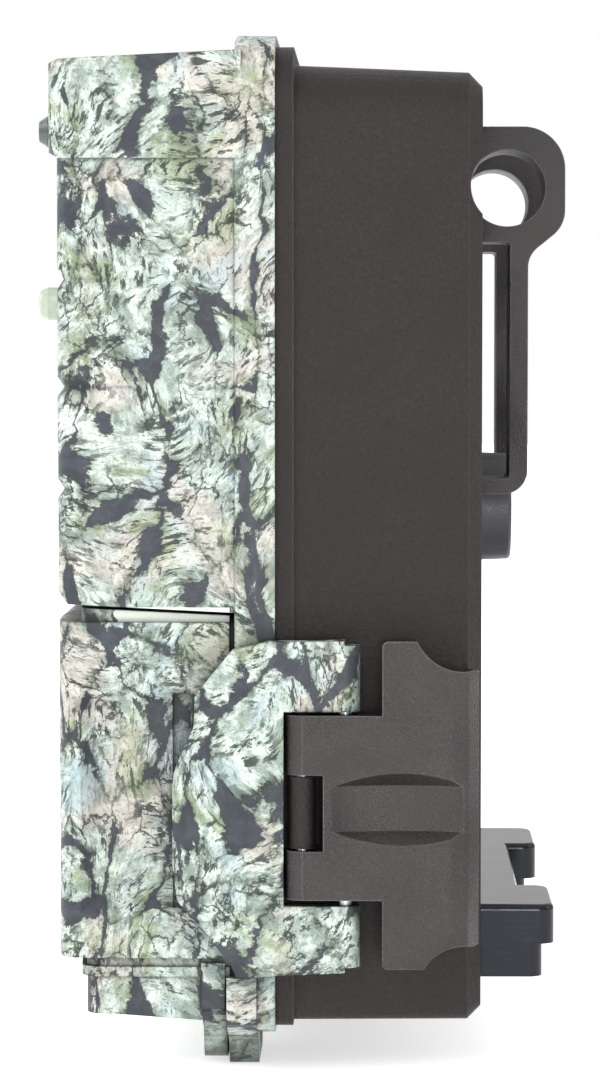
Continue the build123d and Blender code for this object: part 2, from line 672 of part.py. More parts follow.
def socket_collar():
    """Drafted round collar round the rear socket."""
    plane = Plane(origin=(0, BACK_Y, REAR_SOCKET_Z), z_dir=(0, 1, 0))
    collar = plane * extrude(Circle(8.25), amount=COLLAR_END_Y - BACK_Y, taper=DRAFT_DEG)
    collar = fillet(collar.faces().sort_by(Axis.Y)[-1].edges(), 0.6)
    return collar - rod_y(BACK_Y - 1, COLLAR_END_Y + 1, 0, REAR_SOCKET_Z, 4.6)


def rear_socket():
    """Threaded insert for a tripod screw, opening backwards."""
    insert = rod_y(3.0, COLLAR_END_Y - 0.4, 0, REAR_SOCKET_Z, 4.55)
    return insert - rod_y(6.0, COLLAR_END_Y + 1, 0, REAR_SOCKET_Z, THREAD_R)


def bottom_socket():
    """Threaded insert for a tripod screw, opening downwards."""
    insert = rod_z(0.0, BOTTOM_BOSS_TOP_Z, 0, 0, 4.55)
    return insert - rod_z(-1, BOTTOM_BOSS_TOP_Z - 0.8, 0, 0, THREAD_R)


def port_cover():
    """Rubber flap over the power and data ports, with two plugs."""
    flap = block(PORT_X - 7.2, PORT_X + 7.2, -5.7, 3.0, PORT_FLAP_LOW_Z, PORT_FLAP_TOP_Z)
    flap = fillet(flap.edges().filter_by(Axis.Z), 0.8)
    for x in (PORT_X - 3.4, PORT_X + 3.6):
        flap += rod_z(PORT_FLAP_TOP_Z, PORT_FLAP_TOP_Z + 1.0, x, -1.0, 2.45)
    return flap


def port_cover_anchor():
    return block(PORT_X - 7.2, PORT_X + 7.2, 3.15, 3.98, PORT_FLAP_LOW_Z, PORT_FLAP_TOP_Z)


def dc_jack():
    jack = block(PORT_X - 6.8, PORT_X - 0.2, -5.5, 3.5, 3.1, 12.0)
    return jack - rod_z(3, 10.5, PORT_X - 3.4, -1.0, 2.6)


def usb_port():
    socket = block(PORT_X + 0.2, PORT_X + 7.0, -4.5, 2.5, 3.1, 9.0)
    return socket - block(PORT_X + 1.0, PORT_X + 6.2, -2.4, 0.4, 3, 8.0)


# ---- Door ------------------------------------------------------------------------
def tier(half_x, face_y, z0, z1, corner, radius):
    """Crowned tier of the door with rounded upper and lower front edges."""
    body = crowned(half_x, face_y, DOOR_REAR_Y, z0, z1, corner)
    clear_of_crown = 0.15
    centre_y = face_y - CROWN + radius - clear_of_crown
    for centre_z, low, high in ((z1 - radius, z1 - radius, z1 + 1), (z0 + radius, z0 - 1, z0 + radius)):
        nose = block(-60, 60, -60, centre_y, low, high)
        body -= nose - rod_x(-60, 60, centre_y, centre_z, radius)
    return body


def door_outer():
    """Stacked tiers of the lower door: neck, bulge, lip and chin."""
    neck = crowned(HALF_FRONT - 1.0, -43.1, DOOR_REAR_Y, 54.0, DOOR_TOP_Z, 2.5) - gap_side(DOOR_TOP_Z, 62)
    bulge = tier(HALF_FRONT, -46.2, 8.3, 55.6, 3.2, 2.4)
    front_bottom_z = DOOR_BOTTOM_Z + 1.1
    chin = tier(HALF_FRONT - 1.0, -42.5, front_bottom_z, 11.0, 2.8, 2.0)
    heel = [(-38.5, front_bottom_z), (-38.5, 2.0), (DOOR_REAR_Y, 2.0), (DOOR_REAR_Y, DOOR_BOTTOM_Z)]
    chin += side_prism(heel, -HALF_FRONT + 1.0, HALF_FRONT - 1.0)
    lip = crowned(HALF_FRONT - 0.5, -43.2, DOOR_REAR_Y, 5.6, 7.0, 2.8)
    return neck + bulge + chin + lip


def door_side_recess(sign):
    """Recessed panel in one door side with sloping ends, and a deeper slot towards the rim."""
    outside, deep, slot = (sign * (HALF_FRONT + offset) for offset in (0.3, -1.5, -2.1))
    low_z, high_z, run = 14.2, 46.8, 2.6
    front_y, rear_y = -43.8, -27.8
    section = [(outside, low_z), (deep, low_z + run), (deep, high_z - run), (outside, high_z)]
    face = make_face(Polyline(*section, close=True))
    plane = Plane(origin=(0, rear_y, 0), x_dir=(1, 0, 0), z_dir=(0, -1, 0))
    panel = extrude(plane * face, amount=rear_y - front_y)
    plan = [(outside, front_y), (deep, front_y + run), (deep, rear_y), (outside, rear_y)]
    low_x, high_x = sorted((slot, outside))
    panel &= plan_prism(plan, 0, 60)
    return panel + block(low_x, high_x, -30.4, rear_y, 15.4, 45.6)


def door_shell():
    """Hollow lower door with hinge knuckles and the front padlock tab."""
    body = door_outer()
    waist = crowned(60.0, FACE_Y - 10, -40, 18.0, 45.0, 1.0)
    body -= waist - crowned(HALF_FRONT + 8, FACE_Y + 0.5, -39, 17, 46, 1.0)
    for sign in (-1, 1):
        body -= door_side_recess(sign)
    body -= crowned(HALF_FRONT - 3.6, -42.6 + 0.5, DOOR_REAR_Y + 1, 2.6, 55.0, 1.5)
    body += padlock_tab(-26.4, -23.05, DOOR_BOTTOM_Z + 1.4, -7.7, HALF_FRONT - 0.3, 7.6)
    x, y = HINGE
    for z in HINGE_HEIGHTS:
        for low in (z - 7.1, z + 2.7):
            body += rod_z(low, low + 4.4, x, y, HINGE_R)
            leaf = [(x - 0.5, y - HINGE_R + 0.1), (x, y), (x + 2.2, y - 0.5),
                    (-HALF_FRONT + 1.0, DOOR_REAR_Y - 0.1), (-HALF_FRONT + 1.0, -26.8)]
            body += plan_prism(leaf, low, low + 4.4)
            body -= rod_z(low - 0.1, low + 4.5, x, y, HINGE_PIN_R + SLIP)
    return body


def hinge_pins():
    pins = Part()
    for z in HINGE_HEIGHTS:
        pins += rod_z(z - 7.3, z + 7.3, HINGE[0], HINGE[1], HINGE_PIN_R)
    return pins


def door_liner():
    """Stiffening plate inside the door."""
    return block(-41.8, 41.8, -42.0, -41.5, 3.4, 54.2)


def door_gasket():
    """Seal on the door's rear edge, facing the rim band."""
    outer = front_plate(DOOR_REAR_Y + 0.02, RIM_FRONT_Y - 0.1, 46.0, 1.0, 56.2, 2.5)
    return outer - front_plate(DOOR_REAR_Y - 1, RIM_FRONT_Y + 1, 43.8, 3.2, TRAY_Z[1] + 0.3, 1.5)


# ---- Latch -----------------------------------------------------------------------
def lever_plan():
    """Lever section seen from above: hub, outer plate and the inward curled tip."""
    fx, fy = PIVOT_F
    outline = [(fx, fy - 0.5), (LEVER_OUT_X, fy), (LEVER_OUT_X, 8.6), (52.7, 10.8), (50.6, 12.4),
               (48.6, 12.9), (48.6, 11.4), (49.8, 10.6), (50.6, 8.4), (50.6, -3.0), (49.0, -4.4),
               (49.0, -9.0)]
    face = make_face(Polyline(*outline, close=True))
    bend = [v for v in face.vertices() if v.X > 52 and v.Y > 8]
    return fillet(bend, 1.4)


def lever_side():
    """Lever outline seen from the latch side: narrow between the arms, wide behind them."""
    low, high = LEVER_NARROW_Z
    wing_start = -1.0
    tip = Polyline((11.6, 10.9), (12.4, 11.1), (12.4, 49.2), (11.6, 49.4))
    curve_top = ThreePointArc((11.6, 49.4), (6.2, 50.6), (3.8, 53.5))
    front = Polyline((3.8, 53.5), (wing_start, 53.5), (wing_start, high), (-15.2, high), (-15.2, low),
                     (wing_start, low), (wing_start, 7.9), (4.8, 7.9))
    curve_low = ThreePointArc((4.8, 7.9), (7.0, 10.2), (11.6, 10.9))
    outline = make_face(Curve() + tip + curve_top + front + curve_low)
    corners = [v for v in outline.vertices() if abs(v.X - wing_start) < 0.1 and not low <= v.Y <= high]
    return fillet(corners, 0.8)


def latch_lever():
    """Lever with two pivot barrels, a link hub, wings and a finger scoop."""
    fx, fy = PIVOT_F
    lx, ly = PIVOT_L
    z_low, z_high = LEVER_NARROW_Z
    plate = extrude(lever_plan(), amount=60)
    lever = plate & extrude(Plane.YZ.offset(40) * lever_side(), amount=20)
    gap_low, gap_high = KNUCKLE_Z[0] - 0.3, KNUCKLE_Z[1] + 0.3
    for low, high in ((z_low, gap_low), (gap_high, z_high)):
        lever += rod_z(low, high, fx, fy, 2.4)
    lever += rod_z(z_low, z_high, lx, ly, 2.2)
    lever -= block(44, 60, fy - 4, fy + 2.9, gap_low, gap_high)
    lever -= rod_z(0, 60, fx, fy, LATCH_PIN_R + SLIP)
    lever -= rod_z(0, 60, lx, ly, LATCH_PIN_R + 0.01)
    return lever - finger_scoop()


def finger_scoop():
    """Shallow hollow in the lever's outer face: a curved band with sloping walls above and below."""
    low, high = 27.1, 33.3
    radius, depth = 25.0, 2.0
    x, y = LEVER_OUT_X - depth + radius, 1.8
    band = rod_z(low, high, x, y, radius)
    upper = Plane(origin=(x, y, high)) * extrude(Circle(radius), amount=depth, taper=45)
    lower = Plane(origin=(x, y, low), z_dir=(0, 0, -1)) * extrude(Circle(radius), amount=depth, taper=45)
    return band + upper + lower


def latch_pin():
    """Fixed pivot pin of the lever."""
    low, high = LEVER_NARROW_Z
    return rod_z(low + 0.4, high - 0.4, PIVOT_F[0], PIVOT_F[1], LATCH_PIN_R)


def link_pin():
    """Pin through the lever hub and both arms of the hook plate."""
    return rod_z(8.4, 52.4, PIVOT_L[0], PIVOT_L[1], LATCH_PIN_R)


def hook_plate():
    """C-shaped draw plate with a crease, a hooked front edge and two arms."""
    lx, ly = PIVOT_L
    profile = [(52.3, ly), (52.3, -15.6), (52.9, -19.5), (51.3, -28.6), (50.0, -30.3), (47.5, -30.3),
               (47.5, -28.7), (49.0, -28.2), (50.6, -19.7), (49.9, -15.8), (49.9, -9.4), (48.1, ly)]
    face = make_face(Polyline(*profile, close=True))
    front = [v for v in face.vertices() if v.X > 49.5 and v.Y < -28]
    face = fillet(front, 1.0)
    plate = extrude(face, amount=60)
    outline = [(-4.1, 53.4), (-16.6, 53.4), (-21.8, 52.2), (-27.0, 45.8), (-27.2, 41.4), (-29.2, 37.0),
               (-30.4, 34.0), (-30.4, 23.0), (-29.6, 17.0), (-25.8, 13.0), (-22.0, 8.2), (-21.2, 6.5),
               (-4.1, 7.3), (-4.1, 16.5), (-14.7, 16.5), (-14.7, 43.6), (-4.1, 43.6)]
    shape = make_face(Polyline(*outline, close=True))
    soft = [v for v in shape.vertices() if v.X < -16 and (v.Y > 45 or v.Y < 20)]
    shape = fillet(soft, 0.9)
    ends = [v for v in shape.vertices() if v.X > -5]
    shape = fillet(ends, 0.7)
    arms = plate & extrude(Plane.YZ.offset(40) * shape, amount=20)
    for low, high in ((7.9, 16.5), (43.6, 52.8)):
        arms += rod_z(low, high, lx, ly, 2.1)
        arms -= rod_z(low - 1, high + 1, lx, ly, LATCH_PIN_R + SLIP)
    return arms


# ---- Fasteners of the rear fittings ----------------------------------------------
def bracket_screw_places():
    mid_x = (BRACKET_X[0] + BRACKET_X[1]) / 2
    return [(side * mid_x, z) for side in (-1, 1) for z in (74.2, 123.5)]


def foot_screw_places():
    return [(x, 12.1) for x in (-32, -12, 12, 32)]


def small_screws(places):
    """Small pan-head screws from inside the rear case into a rear fitting."""
    screws = Part()
    for x, z in places:
        screws += rod_y(BACK_Y - 2.5, BACK_Y + 4.4, x, z, SMALL_SCREW_R)
        screws += rod_y(BACK_Y - 3.8, BACK_Y - 2.5, x, z, 1.6)
    return screws


def drilled(body, places):
    """Fitting with holes for its small screws."""
    for x, z in places:
        body -= rod_y(BACK_Y - 1, BACK_Y + 4.6, x, z, SMALL_SCREW_R + 0.01)
    return body


# ---- All nodes -------------------------------------------------------------------
def build():
    nodes = {
        "front_housing": front_housing(),
        "rear_case": rear_case(),
        "housing_gasket": housing_gasket(),
        "housing_screws": housing_screws(),
        "led_window": led_window(),
        "led_board": led_board(),
        "ir_leds": ir_leds(),
        "lens_bezel": lens_bezel(),
        "lens_cover": lens_cover(),
        "lens_barrel": lens_barrel(),
        "camera_module": camera_module(),
        "light_sensor_dome": light_sensor_dome(),
        "indicator_lens": indicator_lens(),
        "pir_lens": pir_lens(),
        "pir_sensor": pir_sensor(),
        "pir_board": pir_board(),
        "microphone": microphone(),
        "main_board": main_board(),
        "board_components": board_components(),
        "ribbon_cable": ribbon_cable(),
        "control_panel": control_panel(),
        "lcd_glass": lcd_glass(),
        "lcd_module": lcd_module(),
        "keypad_board": keypad_board(),
        "power_switch": power_switch(),
        "sd_card": sd_card(),
        "sd_socket": sd_socket(),
        "battery_tray": battery_tray(),
        "battery_cells": battery_cells(),
        "battery_springs": battery_springs(),
        "battery_contacts": battery_contacts(),
        "strap_bracket_left": drilled(strap_bracket(-1), bracket_screw_places()),
        "strap_bracket_right": drilled(strap_bracket(1), bracket_screw_places()),
        "bracket_screws": small_screws(bracket_screw_places()),
        "trunk_foot": drilled(trunk_foot(), foot_screw_places()),
        "foot_screws": small_screws(foot_screw_places()),
        "socket_collar": socket_collar(),
        "rear_socket": rear_socket(),
        "bottom_socket": bottom_socket(),
        "port_cover": port_cover(),
        "port_cover_anchor": port_cover_anchor(),
        "dc_jack": dc_jack(),
        "usb_port": usb_port(),
        "hinge_pins": hinge_pins(),
        "door_shell": door_shell(),
        "door_liner": door_liner(),
        "door_gasket": door_gasket(),
        "latch_lever": latch_lever(),
        "latch_pin": latch_pin(),
        "link_pin": link_pin(),
        "hook_plate": hook_plate(),
    }
    for name in key_places():
        nodes[name] = key_cap(name)
    return nodes


os.makedirs("parts", exist_ok=True)
for node, solid in build().items():
    write(node, solid)
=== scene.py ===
import json

import bpy
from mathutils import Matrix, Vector


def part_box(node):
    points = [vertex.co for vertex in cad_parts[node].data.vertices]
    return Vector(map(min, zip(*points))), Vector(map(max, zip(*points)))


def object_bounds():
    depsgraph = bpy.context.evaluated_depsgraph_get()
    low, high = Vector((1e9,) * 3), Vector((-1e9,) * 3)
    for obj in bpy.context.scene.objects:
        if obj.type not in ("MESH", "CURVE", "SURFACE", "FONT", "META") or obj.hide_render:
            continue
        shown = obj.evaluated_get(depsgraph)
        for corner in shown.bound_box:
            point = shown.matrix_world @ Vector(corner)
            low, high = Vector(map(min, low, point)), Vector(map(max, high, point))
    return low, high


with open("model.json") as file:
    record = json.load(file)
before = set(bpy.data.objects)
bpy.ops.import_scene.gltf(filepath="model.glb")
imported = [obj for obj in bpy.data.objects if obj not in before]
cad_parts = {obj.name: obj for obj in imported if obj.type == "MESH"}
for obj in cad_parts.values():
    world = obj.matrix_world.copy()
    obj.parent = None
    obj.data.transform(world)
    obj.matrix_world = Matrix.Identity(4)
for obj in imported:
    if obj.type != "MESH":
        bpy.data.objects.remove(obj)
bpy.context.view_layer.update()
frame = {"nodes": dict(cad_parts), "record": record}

# Looks of the trail camera. Metres, +Z up, the lens looks along -Y, the latch is on +X.

MM = 0.001
NODES = frame["nodes"]

# Camera: place and target in millimetres of the shared frame, lens and sensor in millimetres
CAMERA_PLACE = (538.0, -1.1, 95.0)
CAMERA_TARGET = (48.0, -12.5, 66.6)
CAMERA_LENS = 116.6
CAMERA_SENSOR = 36.0
CAMERA_CLIP = 0.01

# Studio lights: name, offset from the middle of the part (m), side of the square (m), power (W)
STUDIO_LIGHTS = (
    ("key", (0.75, -0.35, 0.65), 0.6, 3.4),
    ("sheen", (0.9, 0.12, -0.02), 0.14, 2.4),
    ("back", (0.1, 0.9, 0.4), 0.5, 2.0),
    ("front", (-0.1, -0.9, 0.4), 0.6, 3.0),
)
# The surroundings brighten towards this direction, between the two strengths
BRIGHT_SIDE = (0.0, -0.55, 0.83)
BRIGHT_SPREAD = 0.8
DIM_STRENGTH = 0.2
BRIGHT_STRENGTH = 1.35
WHITE = (1.0, 1.0, 1.0, 1.0)
FLOOR_REACH = 3.0
FLOOR_GLOW = 0.58

# Samples of the bevel nodes and of the ambient-occlusion nodes that paint shade into corners
CORNER_SAMPLES = 6

# Socket numbers of the colour mix and of the plain mix node
MIX_FACTOR = 0
COLOUR_A, COLOUR_B, COLOUR_RESULT = 6, 7, 2
VALUE_A, VALUE_B, VALUE_RESULT = 2, 3, 0

# Bark print: scales are per millimetre, offsets in millimetres
SWEEP_SCALE, SWEEP_REACH = 0.05, 14.0
WOBBLE_SCALE, WOBBLE_REACH = 0.3, 4.2
PLATE_SCALE, PLATE_STRETCH = 0.115, (1.0, 1.0, 0.5)
POOL_SCALE, POOL_STRETCH, POOL_LEVEL = 0.13, (1.0, 1.0, 0.42), 0.70
SPLIT_SCALE, SPLIT_STRETCH = 0.27, (1.0, 1.0, 0.6)
FLECK_LOW, FLECK_HIGH = 0.445, 0.465
TILT = (0.8, 0.0, 0.2)

# Near-white band on the door's neck, in millimetres: its height, its start behind the door's front, its
# depth from the side
STRIP_HEIGHT = 2.0
STRIP_START = 11.0
STRIP_DEPTH = 1.4


# ---- Colour and node helpers -------------------------------------------------------
def srgb(red, green, blue):
    """Colour from 0-255 display values, as a linear RGBA tuple."""
    channels = []
    for value in (red, green, blue):
        part = value / 255.0
        channels.append(part / 12.92 if part <= 0.04045 else ((part + 0.055) / 1.055) ** 2.4)
    return (*channels, 1.0)


class Shader:
    """One material's node tree with short calls for the nodes used here."""

    def __init__(self, name):
        self.material = bpy.data.materials.new(name)
        self.material.use_nodes = True
        self.tree = self.material.node_tree
        self.tree.nodes.clear()
        self.output = self.tree.nodes.new("ShaderNodeOutputMaterial")
        self.bsdf = self.tree.nodes.new("ShaderNodeBsdfPrincipled")
        self.tree.links.new(self.bsdf.outputs[0], self.output.inputs["Surface"])

    def add(self, kind, inputs=None, **settings):
        """New node with its inputs filled or linked."""
        item = self.tree.nodes.new(kind)
        for key, value in settings.items():
            setattr(item, key, value)
        for key, value in (inputs or {}).items():
            self.put(item.inputs[key], value)
        return item

    def put(self, socket, value):
        """Link another node's output to a socket, or set a plain value."""
        if isinstance(value, bpy.types.NodeSocket):
            self.tree.links.new(value, socket)
        else:
            socket.default_value = value

    def set(self, **values):
        """Fill the surface's inputs by name, with _ for spaces."""
        for key, value in values.items():
            self.put(self.bsdf.inputs[key.replace("_", " ")], value)

    def place(self, scale=(1, 1, 1), turn=(0, 0, 0)):
        """Row-frame position in millimetres, then scaled and turned."""
        coords = self.add("ShaderNodeTexCoord").outputs["Object"]
        size = tuple(part / MM for part in scale)
        return self.add("ShaderNodeMapping", {"Vector": coords, "Rotation": turn, "Scale": size}).outputs[0]

    def parts(self, vector):
        """The X, Y and Z of a vector."""
        return self.add("ShaderNodeSeparateXYZ", {"Vector": vector}).outputs

    def noise(self, vector, scale, detail=2.0, roughness=0.5, distortion=0.0):
        """Soft noise: outputs Fac and Color."""
        inputs = {"Vector": vector, "Scale": scale, "Detail": detail,
                  "Roughness": roughness, "Distortion": distortion}
        return self.add("ShaderNodeTexNoise", inputs).outputs

    def voronoi_edge(self, vector, scale):
        """Distance to the nearest border between cells."""
        inputs = {"Vector": vector, "Scale": scale, "Randomness": 1.0}
        return self.add("ShaderNodeTexVoronoi", inputs, feature="DISTANCE_TO_EDGE").outputs["Distance"]

    def math(self, operation, first, second=0.5):
        item = self.add("ShaderNodeMath", operation=operation)
        self.put(item.inputs[0], first)
        self.put(item.inputs[1], second)
        return item.outputs[0]

    def opposite(self, value):
        """1 where the value is 0, and 0 where it is 1."""
        return self.math("SUBTRACT", 1.0, value)

    def vector_math(self, operation, first, second):
        item = self.add("ShaderNodeVectorMath", operation=operation)
        self.put(item.inputs[0], first)
        if operation == "SCALE":
            self.put(item.inputs["Scale"], second)
        else:
            self.put(item.inputs[1], second)
        return item.outputs[0]

    def ramp(self, value, low, high, out_low=0.0, out_high=1.0):
        """Smooth step of a value between two limits."""
        inputs = {"Value": value, "From Min": low, "From Max": high, "To Min": out_low, "To Max": out_high}
        return self.add("ShaderNodeMapRange", inputs, interpolation_type="SMOOTHSTEP").outputs["Result"]

    def mix(self, factor, first, second):
        """First colour where the factor is 0, second where it is 1."""
        item = self.add("ShaderNodeMix", data_type="RGBA")
        self.put(item.inputs[MIX_FACTOR], factor)
        self.put(item.inputs[COLOUR_A], first)
        self.put(item.inputs[COLOUR_B], second)
        return item.outputs[COLOUR_RESULT]

    def bump(self, height, distance_mm, strength=1.0, normal=None):
        inputs = {"Height": height, "Distance": distance_mm * MM, "Strength": strength}
        item = self.add("ShaderNodeBump", inputs)
        if normal is not None:
            self.put(item.inputs["Normal"], normal)
        return item.outputs[0]

    def soft_edges(self, radius_mm):
        """Normal that rounds the corners."""
        return self.add("ShaderNodeBevel", {"Radius": radius_mm * MM}, samples=CORNER_SAMPLES).outputs[0]

    def painted_edge_highlight(self, radius_mm, amount):
        """Painted highlight along corners: 0 on flat faces, up to the amount along edges."""
        rounded = self.soft_edges(radius_mm)
        true_normal = self.add("ShaderNodeNewGeometry").outputs["Normal"]
        likeness = self.add("ShaderNodeVectorMath", operation="DOT_PRODUCT")
        self.put(likeness.inputs[0], rounded)
        self.put(likeness.inputs[1], true_normal)
        return self.ramp(likeness.outputs["Value"], 0.99, 0.8, 0.0, amount)

    def painted_corner_shade(self, reach_mm, amount):
        """Painted shade: 0 on open faces, up to the amount in corners and recesses that the surroundings
        shut in.
        """
        inputs = {"Distance": reach_mm * MM}
        shelter = self.add("ShaderNodeAmbientOcclusion", inputs, samples=CORNER_SAMPLES)
        return self.ramp(shelter.outputs["AO"], 0.95, 0.35, 0.0, amount)


# ---- Materials ---------------------------------------------------------------------
def region(s, place, shift, scale, low, high):
    """Soft patches: 1 inside, 0 outside."""
    moved = s.vector_math("ADD", place, shift)
    return s.ramp(s.noise(moved, scale, 2.0, 0.55)["Fac"], low, high)


def flecks(s, space, stretch, scale, low=FLECK_LOW, high=FLECK_HIGH):
    """Short dark marks, drawn out along one direction."""
    field = s.noise(s.vector_math("MULTIPLY", space, stretch), scale, 5.0, 0.7, 0.15)["Fac"]
    return s.opposite(s.ramp(field, low, high))


def pale_neck_band(s, place, ragged):
    """Near-white band along the top of the door's neck on the latch side, with a ragged front end."""
    low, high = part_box("door_shell")
    rear_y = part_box("door_gasket")[0].y / MM
    spot = s.parts(place)
    above = s.math("GREATER_THAN", spot["Z"], high.z / MM - STRIP_HEIGHT)
    behind = s.math("GREATER_THAN", s.parts(ragged)["Y"], low.y / MM + STRIP_START)
    ahead = s.math("LESS_THAN", spot["Y"], rear_y)
    latch_side = s.math("GREATER_THAN", spot["X"], high.x / MM - STRIP_DEPTH)
    below = s.math("LESS_THAN", spot["Z"], high.z / MM + 0.1)
    in_height = s.math("MULTIPLY", above, below)
    in_depth = s.math("MULTIPLY", behind, ahead)
    return s.math("MULTIPLY", s.math("MULTIPLY", in_height, in_depth), latch_side)


def bark_spaces(s, place):
    """The position bent by broad sweeps, and bent again by small ragged steps."""
    middle_grey = (0.5, 0.5, 0.5)
    sweep = s.vector_math("SUBTRACT", s.noise(place, SWEEP_SCALE, 1.0)["Color"], middle_grey)
    flow = s.vector_math("ADD", place, s.vector_math("SCALE", sweep, SWEEP_REACH))
    wobble = s.vector_math("SUBTRACT", s.noise(flow, WOBBLE_SCALE, 5.0, 0.68)["Color"], middle_grey)
    ragged = s.vector_math("ADD", flow, s.vector_math("SCALE", wobble, WOBBLE_REACH))
    return flow, ragged


def bark_shore(s, place, ragged):
    """Distance from the slate crevices: below 0 inside them."""
    plates = s.voronoi_edge(s.vector_math("MULTIPLY", ragged, PLATE_STRETCH), PLATE_SCALE)
    opening = s.ramp(s.noise(place, 0.11, 2.0)["Fac"], 0.4, 0.72, -0.006, 0.11)
    rift = s.math("SUBTRACT", plates, opening)
    pools = s.noise(s.vector_math("MULTIPLY", ragged, POOL_STRETCH), POOL_SCALE, 1.0)["Fac"]
    pool_edge = s.math("MULTIPLY", s.math("SUBTRACT", POOL_LEVEL, pools), 1.6)
    return s.math("MINIMUM", rift, pool_edge)


def bark_splits(s, place, ragged):
    """Thin cracks across some of the plates."""
    split = s.voronoi_edge(s.vector_math("MULTIPLY", ragged, SPLIT_STRETCH), SPLIT_SCALE)
    line = s.opposite(s.ramp(split, 0.004, 0.06))
    return s.math("MULTIPLY", line, region(s, place, (9.0, 3.0, 21.0), 0.12, 0.46, 0.56))


def bark_marks(s, place, flow, ragged):
    """Fine dark strokes that run upright, level or tilted from patch to patch."""
    upright = flecks(s, flow, (1.0, 1.0, 0.3), 1.15)
    level = flecks(s, flow, (0.4, 0.28, 1.0), 1.2)
    tilted_space = s.add("ShaderNodeMapping", {"Vector": flow, "Rotation": TILT}).outputs[0]
    tilted = flecks(s, tilted_space, (1.0, 1.0, 0.28), 1.2)
    marks = s.mix(region(s, place, (40.0, 0.0, 11.0), 0.055, 0.48, 0.54), upright, level)
    marks = s.mix(region(s, place, (0.0, 71.0, 5.0), 0.06, 0.48, 0.53), marks, tilted)
    dense = s.ramp(s.noise(ragged, 0.17, 3.0)["Fac"], 0.36, 0.56, 0.3, 1.0)
    return s.math("MULTIPLY", marks, dense)


def bark_pale(s, place, ragged, tone):
    """Pale plates with pink, blue and moss tints."""
    pale = s.mix(s.ramp(tone, 0.38, 0.62), srgb(130, 143, 136), srgb(190, 201, 193))
    pink = s.math("MULTIPLY", region(s, place, (0.0, 0.0, 0.0), 0.08, 0.5, 0.62), 0.5)
    pale = s.mix(pink, pale, srgb(188, 170, 162))
    blue = s.math("MULTIPLY", region(s, place, (31.0, 17.0, 5.0), 0.11, 0.54, 0.66), 0.5)
    pale = s.mix(blue, pale, srgb(160, 180, 188))
    moss = s.math("MULTIPLY", region(s, ragged, (-12.0, 40.0, 9.0), 0.12, 0.53, 0.63),
                  s.ramp(tone, 0.62, 0.38, 0.25, 1.0))
    return s.mix(s.math("MULTIPLY", moss, 0.65), pale, srgb(132, 144, 102))


def bark_camouflage():
    """Printed bark: pale plates full of fine dark strokes, split by slate crevices."""
    s = Shader("bark_camouflage")
    place = s.place()
    flow, ragged = bark_spaces(s, place)
    shore = bark_shore(s, place, ragged)
    slate_area = s.opposite(s.ramp(shore, -0.006, 0.006))
    near_shore = s.opposite(s.ramp(shore, 0.0, 0.1))
    outline = s.opposite(s.ramp(shore, 0.0, 0.02))
    split_line = bark_splits(s, place, ragged)
    marks = bark_marks(s, place, flow, ragged)
    dots = flecks(s, ragged, (1.0, 1.0, 0.7), 2.3, 0.42, 0.45)
    tone = s.noise(ragged, 0.35, 5.0, 0.7)["Fac"]

    shade = s.math("MULTIPLY", near_shore, s.ramp(tone, 0.62, 0.4, 0.1, 0.8))
    colour = s.mix(shade, bark_pale(s, place, ragged, tone), srgb(90, 101, 84))
    colour = s.mix(s.math("MULTIPLY", dots, 0.5), colour, srgb(72, 82, 74))
    colour = s.mix(s.math("MULTIPLY", marks, 0.92), colour, srgb(38, 46, 41))
    colour = s.mix(s.math("MULTIPLY", split_line, 0.92), colour, srgb(34, 40, 37))
    colour = s.mix(s.math("MULTIPLY", outline, 0.85), colour, srgb(30, 35, 34))
    slate = s.mix(s.ramp(tone, 0.4, 0.65), srgb(48, 52, 58), srgb(62, 66, 72))
    colour = s.mix(slate_area, colour, slate)
    # Near-white band along the top of the door's neck on the latch side
    colour = s.mix(pale_neck_band(s, place, ragged), colour, srgb(226, 234, 222))
    # Painted shade: darker in corners and recesses, from ambient occlusion
    colour = s.mix(s.painted_corner_shade(6.0, 0.75), colour, srgb(30, 34, 34))

    grain = s.noise(place, 5.0, 2.0)["Fac"]
    s.set(Base_Color=colour, Roughness=s.ramp(grain, 0.3, 0.7, 0.36, 0.47),
          Normal=s.bump(grain, 0.02, 0.35, s.soft_edges(0.35)), Specular_IOR_Level=0.22)
    return s.material


def pebbled_plastic():
    """Matte dark brown case plastic with a fine spark-eroded texture."""
    s = Shader("pebbled_brown_plastic")
    place = s.place()
    pits = s.noise(place, 1.9, 4.0, 0.7)["Fac"]
    broad = s.noise(place, 0.06, 2.0)["Fac"]
    base = s.mix(s.ramp(broad, 0.3, 0.7), srgb(27, 17, 16), srgb(34, 23, 22))
    in_pits = s.mix(0.75, base, srgb(13, 9, 9))
    colour = s.mix(s.ramp(pits, 0.35, 0.7), in_pits, base)
    # Painted highlight: lighter lines along the edges
    colour = s.mix(s.painted_edge_highlight(0.3, 0.55), colour, srgb(104, 98, 99))
    rough = s.ramp(pits, 0.3, 0.7, 0.56, 0.42)
    s.set(Base_Color=colour, Roughness=rough, Specular_IOR_Level=0.33,
          Normal=s.bump(pits, 0.24, 0.9, s.soft_edges(0.35)))
    return s.material


